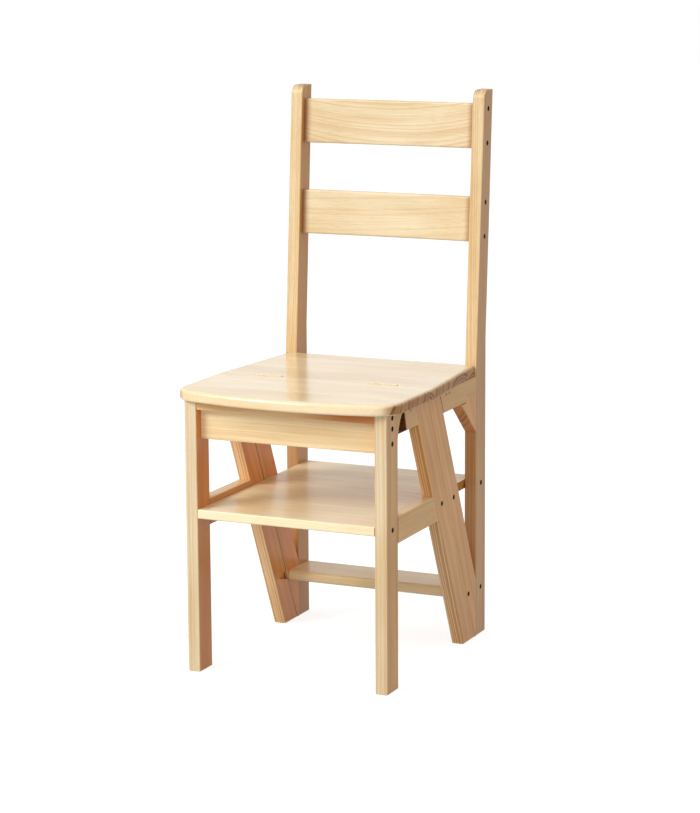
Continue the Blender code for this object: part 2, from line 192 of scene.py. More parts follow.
def filleted(corners, radii, steps=6):
    """A closed outline with each corner rounded by an arc of its own radius.

    The arc's centre lies on the corner's bisector at radius / sin(half the angle). Its
    points turn evenly from one tangent point to the other.
    """
    corners = np.array(corners, float)
    radii = np.broadcast_to(radii, len(corners)).astype(float)[:, None]
    back = np.roll(corners, 1, axis=0) - corners
    ahead = np.roll(corners, -1, axis=0) - corners
    back /= np.linalg.norm(back, axis=1, keepdims=True)
    ahead /= np.linalg.norm(ahead, axis=1, keepdims=True)
    half = np.arccos(np.clip((back * ahead).sum(1, keepdims=True), -1, 1)) / 2
    bisector = (back + ahead) / np.linalg.norm(back + ahead, axis=1, keepdims=True)
    centre = corners + bisector * radii / np.sin(half)
    first = corners + back * radii / np.tan(half) - centre
    last = corners + ahead * radii / np.tan(half) - centre
    turn = (np.pi - 2 * half)[:, :, None]
    share = np.linspace(0, 1, steps + 1)[None, :, None]
    points = np.sin((1 - share) * turn) * first[:, None] + np.sin(share * turn) * last[:, None]
    return (centre[:, None] + points / np.sin(turn)).reshape(-1, 2)


def skin(name, rings):
    """Closed piece from rings of points: walls between the rings, and a face at each end."""
    count, size = rings.shape[:2]
    index = np.arange(count * size).reshape(count, size)
    ahead = np.roll(index, -1, axis=1)
    walls = np.stack((index[:-1], ahead[:-1], ahead[1:], index[1:]), axis=-1).reshape(-1, 4)
    faces = walls.tolist() + [index[0][::-1].tolist(), index[-1].tolist()]
    mesh = bpy.data.meshes.new(name)
    mesh.from_pydata(rings.reshape(-1, 3), [], faces)
    mesh.shade_smooth()
    mesh.set_sharp_from_angle(angle=math.radians(BOARD_SHARP))
    item = bpy.data.objects.new(name, mesh)
    bpy.context.scene.collection.objects.link(item)
    normals = item.modifiers.new("flat faces", "WEIGHTED_NORMAL")
    normals.keep_sharp = True
    return item


def arris_profile(low_radius, high_radius, base, top, steps=6):
    """Inset and height up the wall of a board: quarter circles at its lower and upper edge.

    Inset is the radius times (1 - cosine), and height leaves the face by the radius times
    (1 - sine) of the same angle.
    """
    angle = np.radians(np.linspace(0, 90, steps + 1))
    inset, fall = 1 - np.cos(angle), 1 - np.sin(angle)
    insets = np.append(low_radius * inset[::-1], high_radius * inset)
    return insets, np.append(base + low_radius * fall[::-1], top - high_radius * fall)


def rounded_board(name, outline, square, base, top):
    """Level board: a plan outline carried up an arris profile.

    Each corner moves inward so that it keeps the same inset from both of its sides, or
    stays on a side whose number is in square.
    """
    side = np.roll(outline, -1, axis=0) - outline
    side /= np.linalg.norm(side, axis=1, keepdims=True)
    inward = np.stack((-side[:, 1], side[:, 0]), axis=1)
    depth = np.ones(len(outline))
    depth[list(square)] = 0
    before, depth_before = np.roll(inward, 1, axis=0), np.roll(depth, 1)
    cross = before[:, 0] * inward[:, 1] - before[:, 1] * inward[:, 0]
    parallel = np.abs(cross) < STRAIGHT
    cross = np.where(parallel, 1, cross)
    shift = np.stack(
        (
            (depth_before * inward[:, 1] - depth * before[:, 1]) / cross,
            (depth * before[:, 0] - depth_before * inward[:, 0]) / cross,
        ),
        axis=1,
    )
    shift = np.where(parallel[:, None], inward * depth[:, None], shift)
    inset, height = arris_profile(SEAT_LOW_ROUND, SEAT_EDGE_ROUND, base, top)
    plan = outline[None] + shift[None] * inset[:, None, None]
    level = np.broadcast_to(height[:, None, None], plan.shape[:2] + (1,))
    return skin(name, np.concatenate((plan, level), axis=2))


def carried(name, section, path, across, along_up):
    """A section carried along a path: point = path + section a * across + section b * up."""
    rings = path[:, None] + section[None, :, :1] * across[:, None]
    return skin(name, rings + section[None, :, 1:] * along_up[None, None])


def hinge_notches(sawn, depth):
    """Points of the sawn edge with the two hinge beds, from the right end to the left one."""
    place = np.array((1, 1, 1, 1, -1, -1, -1, -1)) * HINGE_PLACE
    reach = np.tile((1, 1, -1, -1), 2) * HINGE_BED_HALF
    inward = np.tile((0, 1, 1, 0), 2) * depth
    return np.stack((place + reach, sawn + inward), axis=1)


def seat_half_width(y):
    """The seat is parallel up to the saw cut and narrows from there to the posts."""
    share = max(y - HINGE_Y, 0) / (low("back_post_right").y - HINGE_Y)
    return (SEAT_FRONT_WIDTH + (SEAT_BACK_WIDTH - SEAT_FRONT_WIDTH) * share) / 2


def make_seat_front():
    """Front half: a shallow arc of the bow, corner arcs tangent to it, and the sawn edge."""
    front = low("seat_front").y
    bow_centre = front + SEAT_BOW_RADIUS
    corner_x = seat_half_width(low("front_leg_right").y) - SEAT_CORNER_RADIUS
    corner_y = bow_centre - math.sqrt((SEAT_BOW_RADIUS - SEAT_CORNER_RADIUS) ** 2 - corner_x ** 2)
    turn = math.degrees(math.atan2(corner_y - bow_centre, corner_x))
    bow = arc((0, bow_centre), SEAT_BOW_RADIUS, -180 - turn, turn, BOW_STEPS)
    corner = arc((corner_x, corner_y), SEAT_CORNER_RADIUS, turn, 0, CORNER_STEPS)[1:]
    sawn = HINGE_Y - SEAT_CUT_HALF
    right = np.append(corner, [(seat_half_width(sawn), sawn)], axis=0)
    left = right[::-1] * (-1, 1)
    notches = hinge_notches(sawn, -HINGE_BED_DEPTH)
    outline = np.concatenate((bow, right, notches, left))
    first = len(bow) + len(right) - 1
    square = range(first, first + len(notches) + 1)
    place = (low("seat_front").z, high("seat_front").z)
    return rounded_board("seat_front_board", outline, square, *place)


def make_seat_back():
    """Back half: the same straight sides, from the sawn edge to the posts."""
    sawn = HINGE_Y + SEAT_CUT_HALF
    back = high("seat_back").y
    notches = hinge_notches(sawn, HINGE_BED_DEPTH)[::-1]
    ends = np.array(
        (
            (seat_half_width(sawn), sawn),
            (seat_half_width(back), back),
            (-seat_half_width(back), back),
            (-seat_half_width(sawn), sawn),
        )
    )
    outline = np.concatenate((ends, notches))
    square = (1, *range(3, len(outline)))
    place = (low("seat_back").z, high("seat_back").z)
    return rounded_board("seat_back_board", outline, square, *place)


def make_slat(name, node, top):
    """Slat: a rounded section carried along an arc, leaning back with the posts."""
    half = high(node).x
    radius = (half ** 2 + SLAT_BOW ** 2) / (2 * SLAT_BOW)
    reach = math.asin(half / radius)
    angle = np.linspace(-reach, reach, SLAT_STEPS + 1)
    outward = np.stack((np.sin(angle), np.cos(angle), np.zeros_like(angle)), axis=1)
    lean = math.atan(POST_LEAN_SHARE)
    tilt = np.array(Matrix.Rotation(-lean, 3, "X"))
    post = low("back_post_right").y + POST_LEAN_SHARE * (top - high("seat_back").z)
    front = post + SLAT_SETBACK
    path = outward * radius + np.array((0, SLAT_BOW - radius, 0))
    path = path @ tilt.T + np.array((0, front, top))
    corners = ((0, -SLAT_HEIGHT), (SLAT_STOCK, -SLAT_HEIGHT), (SLAT_STOCK, 0), (0, 0))
    section = filleted(corners, SLAT_EDGE_ROUND)
    return carried(name, section, path, outward @ tilt.T, tilt @ np.array((0, 0, 1)))


def make_tread(name, node, corners, radii):
    """Level board between the side frames: a rounded section carried straight across."""
    ends = np.array(((low(node).x, 0, 0), (high(node).x, 0, 0)))
    across = np.tile((0.0, 1.0, 0.0), (2, 1))
    return carried(name, filleted(corners, radii), ends, across, np.array((0, 0, 1.0)))


def make_front_shelf():
    """Front half of the shelf, from its front edge to the saw line."""
    base, top = low("front_shelf").z, high("front_shelf").z
    front = low("front_shelf").y
    sawn = saw_line(base) - SAW_HALF, saw_line(top) - SAW_HALF
    corners = ((front, base), (sawn[0], base), (sawn[1], top), (front, top))
    radii = (TREAD_EDGE_ROUND, TREAD_SAWN_ROUND, TREAD_SAWN_ROUND, TREAD_EDGE_ROUND)
    return make_tread("front_shelf_board", "front_shelf", corners, radii)


def make_back_shelf():
    """Back half of the shelf, from the saw line to its back edge."""
    base, top = low("back_shelf").z, high("back_shelf").z
    back = high("back_shelf").y
    sawn = saw_line(base) + SAW_HALF, saw_line(top) + SAW_HALF
    corners = ((sawn[0], base), (back, base), (back, top), (sawn[1], top))
    radii = (TREAD_SAWN_ROUND, TREAD_EDGE_ROUND, TREAD_EDGE_ROUND, TREAD_SAWN_ROUND)
    return make_tread("back_shelf_board", "back_shelf", corners, radii)


def make_low_step():
    """Low step, whose front edges are rounded more than its back ones."""
    a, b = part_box("low_step")
    corners = ((a.y, a.z), (b.y, a.z), (b.y, b.z), (a.y, b.z))
    radii = (STEP_NOSE_RADIUS, TREAD_EDGE_ROUND, TREAD_EDGE_ROUND, STEP_NOSE_RADIUS)
    return make_tread("low_step_board", "low_step", corners, radii)


def screw_head(radius, rim, dome, slot=0.0, rings=14, spokes=48):
    """Domed head on a shank: height is the rim plus the dome times (1 - distance squared).

    Where the distance across one arm of the cross is under its width, and within its
    reach, the surface goes down by the slot. The last rings round the rim and drop to 0.
    """
    inner = np.linspace(HEAD_MIDDLE_SHARE, HEAD_RIM_SHARE, rings - 2)
    share = np.append(inner, (1.0, 1.0))[:, None]
    angle = np.linspace(0, 2 * np.pi, spokes, endpoint=False)[None, :]
    across, along = radius * share * np.cos(angle), radius * share * np.sin(angle)
    arm = np.minimum(np.abs(across), np.abs(along)) / (CROSS_WIDTH_SHARE * radius)
    reach = np.maximum(np.abs(across), np.abs(along)) / (CROSS_REACH_SHARE * radius)
    side = np.clip(CROSS_SIDE_START - CROSS_SIDE_SLOPE * arm, 0, 1)
    end = np.clip(CROSS_END_START - CROSS_END_SLOPE * reach, 0, 1)
    height = rim + dome * (1 - share ** 2) - slot * (side * end)
    height[-2] -= RIM_ROUND_SHARE * radius
    height[-1] = 0
    return np.stack((height, across, along), axis=-1)[::-1]


def screws(name, places, shape, sides):
    """One mesh with a copy of a head at each place, facing out on its own side of the chair."""
    rings, spokes = shape.shape[:2]
    copies = shape[None] * np.array(sides)[:, None, None, None] ** np.array((1, 1, 0))
    copies = copies + np.array(places)[:, None, None, :]
    index = np.arange(copies[..., 0].size).reshape(copies.shape[:3])
    ahead = np.roll(index, -1, axis=2)
    walls = np.stack((index[:, :-1], ahead[:, :-1], ahead[:, 1:], index[:, 1:]), axis=-1)
    ends = [ring.tolist() for ring in index[:, -1]] + [ring[::-1].tolist() for ring in index[:, 0]]
    mesh = bpy.data.meshes.new(name)
    mesh.from_pydata(copies.reshape(-1, 3), [], walls.reshape(-1, 4).tolist() + ends)
    mesh.shade_smooth()
    mesh.set_sharp_from_angle(angle=math.radians(SCREW_SHARP))
    item = bpy.data.objects.new(name, mesh)
    bpy.context.scene.collection.objects.link(item)
    return item


# Shading: small helpers, then the shared groups

# Marks to the metre, along the grain and in the two directions across it
RING_SWAY = (2.6, 9.0, 9.0)
RING_WAVES = (11.0, 60.0, 60.0)
STREAKS = (9.0, 620.0, 620.0)
DUCTS = (70.0, 1300.0, 1300.0)
CLOUDS = (5.0, 16.0, 16.0)
COAT_DRIFT = (14.0, 26.0, 26.0)
COAT_RIPPLES = (60.0, 240.0, 240.0)
SMUDGES = (160.0, 160.0, 160.0)
BRUSH_LINES = (40.0, 2600.0, 2600.0)
YEAR_DRIFT_RATE = 90.0

# The mean of a noise colour, the height of the rings' waves, how many years the growth
# drifts, and how dark the late wood of a year is at least and how much more by chance
MIDDLE_GREY = (0.5, 0.5, 0.5)
WAVE_HEIGHT = (0.0, 2.2 * MM, 2.2 * MM)
YEAR_DRIFT = 2.4
YEAR_LEAST = 0.35
YEAR_CHANCE = 0.65

# How far planks lie apart in their trunk, and how far from a glue seam it starts and ends to fade
PLANK_JUMP = (1.3, 0.11, 0.05)
SEAM_FADE = (0.1 * MM, 0.7 * MM)

# Where a smooth change starts and is full: over one year's growth, over the noise of each
# mark, and over the shares that tell how a surface faces
LATE_RISE = (0.25, 0.86)
LATE_FALL = (0.90, 1.0)
DUCT_RANGE = (0.70, 0.80)
CLOUD_RANGE = (0.3, 0.72)
STREAK_RANGE = (0.35, 0.7)
TARNISH_RANGE = (0.42, 0.68)
SMUDGE_RANGE = (0.3, 0.7)
ARRIS_RANGE = (0.15, 0.9)
BROAD_RANGE = (0.2, 0.9)
INNER_RANGE = (-0.1, -0.9)
END_RANGE = (0.45, 0.9)


def feed(tree, socket, value):
    """Link another node's socket, or set a plain value."""
    if isinstance(value, bpy.types.NodeSocket):
        tree.links.new(value, socket)
    else:
        socket.default_value = value


def math_node(tree, operation, *values):
    """One step of arithmetic on numbers."""
    node = tree.nodes.new("ShaderNodeMath")
    node.operation = operation
    for socket, value in zip(node.inputs, values):
        feed(tree, socket, value)
    return node.outputs[0]


def vector_node(tree, operation, *values):
    """One step of arithmetic on vectors; the dot product is a number."""
    node = tree.nodes.new("ShaderNodeVectorMath")
    node.operation = operation
    for socket, value in zip(node.inputs, values):
        feed(tree, socket, value)
    return node.outputs["Value" if operation == "DOT_PRODUCT" else "Vector"]


def scaled(tree, vector, factor):
    """A vector times one number."""
    node = tree.nodes.new("ShaderNodeVectorMath")
    node.operation = "SCALE"
    feed(tree, node.inputs[0], vector)
    feed(tree, node.inputs["Scale"], factor)
    return node.outputs["Vector"]


def split(tree, vector):
    """The three parts of a vector, by their letters."""
    node = tree.nodes.new("ShaderNodeSeparateXYZ")
    feed(tree, node.inputs[0], vector)
    return node.outputs


def smooth_step(tree, value, start, end, from_value=0.0, to_value=1.0):
    """Smooth change from one value to the other while the input goes from start to end."""
    node = tree.nodes.new("ShaderNodeMapRange")
    node.interpolation_type = "SMOOTHSTEP"
    labels = ("From Min", "From Max", "To Min", "To Max")
    for label, number in zip(labels, (start, end, from_value, to_value)):
        feed(tree, node.inputs[label], number)
    feed(tree, node.inputs["Value"], value)
    return node.outputs["Result"]


def noise(tree, vector, detail=2.0, roughness=0.5, kind="3D"):
    """Cloudy noise with one cloud to each unit of the place that is fed in."""
    node = tree.nodes.new("ShaderNodeTexNoise")
    node.noise_dimensions = kind
    feed(tree, node.inputs["W" if kind == "1D" else "Vector"], vector)
    node.inputs["Scale"].default_value = 1.0
    node.inputs["Detail"].default_value = detail
    node.inputs["Roughness"].default_value = roughness
    return node


def mix_colour(tree, factor, first, second, blend="MIX"):
    """Two colours mixed, or the first one multiplied by the second, by a factor."""
    node = tree.nodes.new("ShaderNodeMix")
    node.data_type = "RGBA"
    node.blend_type = blend
    feed(tree, node.inputs[0], factor)
    feed(tree, node.inputs[6], first)
    feed(tree, node.inputs[7], second)
    return node.outputs[2]


def new_group(name, inputs, outputs):
    """Node group with named inputs and outputs; kinds are float, vector or colour."""
    kinds = {"float": "NodeSocketFloat", "vector": "NodeSocketVector", "colour": "NodeSocketColor"}
    tree = bpy.data.node_groups.new(name, "ShaderNodeTree")
    for direction, sockets in (("INPUT", inputs), ("OUTPUT", outputs)):
        for label, kind in sockets:
            tree.interface.new_socket(label, in_out=direction, socket_type=kinds[kind])
    given = tree.nodes.new("NodeGroupInput").outputs
    return tree, given, tree.nodes.new("NodeGroupOutput").inputs


def make_ring_group():
    """Growth rings of a pine trunk, in a board's own coordinates with x along the grain.

    The distance to a wandering pith line, divided by the ring width, counts the years. Each
    year ends in a narrow band of dark late wood, darker in some years than in others.
    """
    inputs = [("Vector", "vector"), ("Seed", "vector"), ("Pith", "vector"), ("Lean", "vector")]
    inputs += [("Arch", "float"), ("Wander", "float"), ("Ring Width", "float")]
    tree, given, result = new_group("growth_rings", inputs, [("Late Wood", "float")])
    seeded = vector_node(tree, "ADD", given["Vector"], given["Seed"])
    slow = noise(tree, vector_node(tree, "MULTIPLY", seeded, RING_SWAY), 1.0)
    quick = noise(tree, vector_node(tree, "MULTIPLY", seeded, RING_WAVES), 2.0)
    slow_shift = vector_node(tree, "SUBTRACT", slow.outputs["Color"], MIDDLE_GREY)
    quick_shift = vector_node(tree, "SUBTRACT", quick.outputs["Color"], MIDDLE_GREY)
    sway = scaled(tree, slow_shift, given["Wander"])
    bent = vector_node(tree, "MULTIPLY_ADD", quick_shift, WAVE_HEIGHT, sway)
    along = split(tree, given["Vector"])["X"]
    place = vector_node(tree, "SUBTRACT", given["Vector"], given["Pith"])
    place = vector_node(tree, "SUBTRACT", place, scaled(tree, given["Lean"], along))
    place = split(tree, vector_node(tree, "ADD", place, bent))
    bow = math_node(tree, "MULTIPLY", math_node(tree, "MULTIPLY", along, along), given["Arch"])
    across = math_node(tree, "ADD", place["Y"], bow)
    square = math_node(tree, "MULTIPLY", place["Z"], place["Z"])
    distance = math_node(tree, "SQRT", math_node(tree, "MULTIPLY_ADD", across, across, square))
    age = math_node(tree, "DIVIDE", distance, given["Ring Width"])
    drift = math_node(tree, "MULTIPLY", distance, YEAR_DRIFT_RATE)
    uneven = noise(tree, drift, 1.0, 0.5, "1D").outputs[0]
    age = math_node(tree, "MULTIPLY_ADD", uneven, YEAR_DRIFT, age)
    phase = math_node(tree, "FRACT", age)
    rise = smooth_step(tree, phase, *LATE_RISE)
    fall = smooth_step(tree, phase, *LATE_FALL, 1.0, 0.0)
    year = tree.nodes.new("ShaderNodeTexWhiteNoise")
    year.noise_dimensions = "1D"
    feed(tree, year.inputs["W"], math_node(tree, "FLOOR", age))
    strength = math_node(tree, "MULTIPLY_ADD", year.outputs["Value"], YEAR_CHANCE, YEAR_LEAST)
    band = math_node(tree, "MULTIPLY", math_node(tree, "MULTIPLY", rise, fall), strength)
    feed(tree, result["Late Wood"], band)
    return tree


def make_fibre_group():
    """Fine marks along the grain: long fibre streaks, short dark resin ducts and slow clouds."""
    inputs = [("Vector", "vector"), ("Seed", "vector")]
    outputs = [("Streak", "float"), ("Duct", "float"), ("Cloud", "float")]
    tree, given, result = new_group("wood_fibre", inputs, outputs)
    seeded = vector_node(tree, "ADD", given["Vector"], given["Seed"])
    streak = noise(tree, vector_node(tree, "MULTIPLY", seeded, STREAKS), 3.0, 0.6)
    duct = noise(tree, vector_node(tree, "MULTIPLY", seeded, DUCTS), 0.0)
    cloud = noise(tree, vector_node(tree, "MULTIPLY", seeded, CLOUDS), 2.0)
    feed(tree, result["Streak"], streak.outputs[0])
    feed(tree, result["Duct"], smooth_step(tree, duct.outputs[0], *DUCT_RANGE))
    feed(tree, result["Cloud"], cloud.outputs[0])
    return tree


def make_edge_group():
    """Rounded arrises, sawn ends, broad faces and the inner one, from how the surface faces.

    An arris lies between the faces and the edges of a board, where the share t of the
    normal across the board is neither 0 nor 1, so 4 t t (1 - t t) is 1 at its middle.
    """
    inputs = [("Normal", "vector"), ("Face", "vector"), ("Grain", "vector")]
    outputs = [("Arris", "float"), ("End", "float"), ("Broad", "float"), ("Inner", "float")]
    tree, given, result = new_group("board_edges", inputs, outputs)
    facing = vector_node(tree, "DOT_PRODUCT", given["Normal"], given["Face"])
    square = math_node(tree, "MULTIPLY", facing, facing)
    rest = math_node(tree, "SUBTRACT", 1.0, square)
    product = math_node(tree, "MULTIPLY", math_node(tree, "MULTIPLY", square, rest), 4.0)
    feed(tree, result["Arris"], smooth_step(tree, product, *ARRIS_RANGE))
    feed(tree, result["Broad"], smooth_step(tree, square, *BROAD_RANGE))
    feed(tree, result["Inner"], smooth_step(tree, facing, *INNER_RANGE))
    grain = vector_node(tree, "DOT_PRODUCT", given["Normal"], given["Grain"])
    grain = math_node(tree, "ABSOLUTE", grain)
    feed(tree, result["End"], smooth_step(tree, grain, *END_RANGE))
    return tree


def make_plank_group():
    """A wide board glued up from planks: each has its own part of the trunk and its own tone."""
    inputs = [("Vector", "vector"), ("Width", "float"), ("Offset", "float"), ("Seed", "vector")]
    outputs = [("Vector", "vector"), ("Tone", "float"), ("Joint", "float")]
    tree, given, result = new_group("glued_planks", inputs, outputs)
    shifted = math_node(tree, "ADD", split(tree, given["Vector"])["Y"], given["Offset"])
    count = math_node(tree, "DIVIDE", shifted, given["Width"])
    number = math_node(tree, "FLOOR", count)
    share = math_node(tree, "SUBTRACT", count, number)
    chance = tree.nodes.new("ShaderNodeTexWhiteNoise")
    chance.noise_dimensions = "2D"
    pair = tree.nodes.new("ShaderNodeCombineXYZ")
    feed(tree, pair.inputs[0], number)
    feed(tree, pair.inputs[1], split(tree, given["Seed"])["X"])
    feed(tree, chance.inputs["Vector"], pair.outputs[0])
    jump = vector_node(tree, "SUBTRACT", chance.outputs["Color"], MIDDLE_GREY)
    moved = vector_node(tree, "MULTIPLY_ADD", jump, PLANK_JUMP, given["Vector"])
    edge = math_node(tree, "MINIMUM", share, math_node(tree, "SUBTRACT", 1.0, share))
    far = math_node(tree, "MULTIPLY", edge, given["Width"])
    feed(tree, result["Vector"], moved)
    feed(tree, result["Tone"], chance.outputs["Value"])
    feed(tree, result["Joint"], smooth_step(tree, far, *SEAM_FADE, 1.0, 0.0))
    return tree


def make_lacquer_group():
    """Clear lacquer: roughness that drifts over the board, and faint ripples of the coat."""
    inputs = [("Vector", "vector"), ("Seed", "vector"), ("Roughness", "float"), ("Spread", "float")]
    outputs = [("Roughness", "float"), ("Ripple", "float")]
    tree, given, result = new_group("clear_lacquer", inputs, outputs)
    seeded = vector_node(tree, "ADD", given["Vector"], given["Seed"])
    drift = noise(tree, vector_node(tree, "MULTIPLY", seeded, COAT_DRIFT), 3.0, 0.6)
    ripple = noise(tree, vector_node(tree, "MULTIPLY", seeded, COAT_RIPPLES), 2.0)
    offset = math_node(tree, "SUBTRACT", drift.outputs[0], 0.5)
    rough = math_node(tree, "MULTIPLY_ADD", offset, given["Spread"], given["Roughness"])
    feed(tree, result["Roughness"], rough)
    feed(tree, result["Ripple"], ripple.outputs[0])
    return tree


groups = {
    "rings": make_ring_group(),
    "fibre": make_fibre_group(),
    "edges": make_edge_group(),
    "planks": make_plank_group(),
    "lacquer": make_lacquer_group(),
}


def place_group(tree, name, **values):
    """Put a shared group into a material; spaces in socket names are written as underscores."""
    node = tree.nodes.new("ShaderNodeGroup")
    node.node_tree = groups[name]
    for label, value in values.items():
        feed(tree, node.inputs[label.replace("_", " ")], value)
    return node.outputs


def linear(colour):
    """Colour from 0 to 255 on screen to the light it stands for: ((c + 0.055) / 1.055) ^ 2.4."""
    share = np.array(colour) / 255
    light = np.where(share > 0.04045, ((share + 0.055) / 1.055) ** 2.4, share / 12.92)
    return (*light.tolist(), 1.0)


# Tones, 0 to 255 on screen: spring wood, late wood and ends, then marks
EARLY = (240, 210, 160)
LATE = (204, 152, 92)
END = (216, 160, 98)
# The short rails' ends sit in a narrow gap: their tone is painted shade
GAP_END_PAINTED_SHADE = (120, 70, 34)
DUCT = (150, 100, 58)
# Rounded arrises turn paler: partly wear, partly a painted highlight
ARRIS_WEAR_AND_HIGHLIGHT = (250, 228, 192)
WHITE = (255, 255, 255)

# Share of a tone in its darker clouds, in late wood on a sawn end, between and in the fibre
# streaks, and from the darkest to the palest plank
CLOUD_SHARES = (0.95, 0.91, 0.84)
END_LATE_SHARES = (0.46, 0.36, 0.28)
STREAK_SHARES = (1.03, 0.93)
PLANK_SHARES = (0.975, 1.02)

# How far each mark shows, how rough a coat is, and how much of it a sawn end loses
END_FIGURE = 0.85
DUCT_SHOW = 0.18
ARRIS_WEAR_AND_HIGHLIGHT_SHOW = 0.22
SEAM_SHOW = 0.12
END_SEAM_SHOW = 0.6
END_MATT = 0.4
END_COAT_LOSS = 0.8
COAT_ROUGHNESS = 0.16
ROUGHNESS_SPREAD = 0.12
SMUDGE_SMOOTHER = 0.08
SMUDGE_ROUGHER = 0.16

# Depth of the relief, and the share of each mark in it
GRAIN_DEPTH = 0.12 * MM
BRUSH_DEPTH = 0.05 * MM
LATE_HEIGHT = 0.5
STREAK_HEIGHT = 0.35
RIPPLE_HEIGHT = 0.3
DUCT_PIT = 0.5


def own_place(tree, place, centre, grain, face):
    """A board's own coordinates: x along the grain, z across its thickness."""
    mapping = tree.nodes.new("ShaderNodeMapping")
    mapping.vector_type = "TEXTURE"
    mapping.inputs["Location"].default_value = centre
    turn = Matrix((grain, face.cross(grain), face)).transposed()
    mapping.inputs["Rotation"].default_value = turn.to_euler()
    feed(tree, mapping.inputs["Vector"], place)
    return mapping.outputs["Vector"]


def paint_shade(tree, body, place, edges, tint, axis, start, full, faces):
    """A tone darkened by a tint that paints shade (along a sawn edge partly a dark joint), smoothly
    from where it starts to where it is full.
    """
    reach = split(tree, place)[axis.strip("|")]
    if axis.startswith("|"):
        reach = math_node(tree, "ABSOLUTE", reach)
    share = smooth_step(tree, reach, start, full)
    if faces == "narrow":
        narrow = math_node(tree, "SUBTRACT", 1.0, edges["Broad"])
        share = math_node(tree, "MULTIPLY", share, narrow)
    elif faces == "inner":
        share = math_node(tree, "MULTIPLY", share, edges["Inner"])
    return mix_colour(tree, share, body, linear(tint), "MULTIPLY")


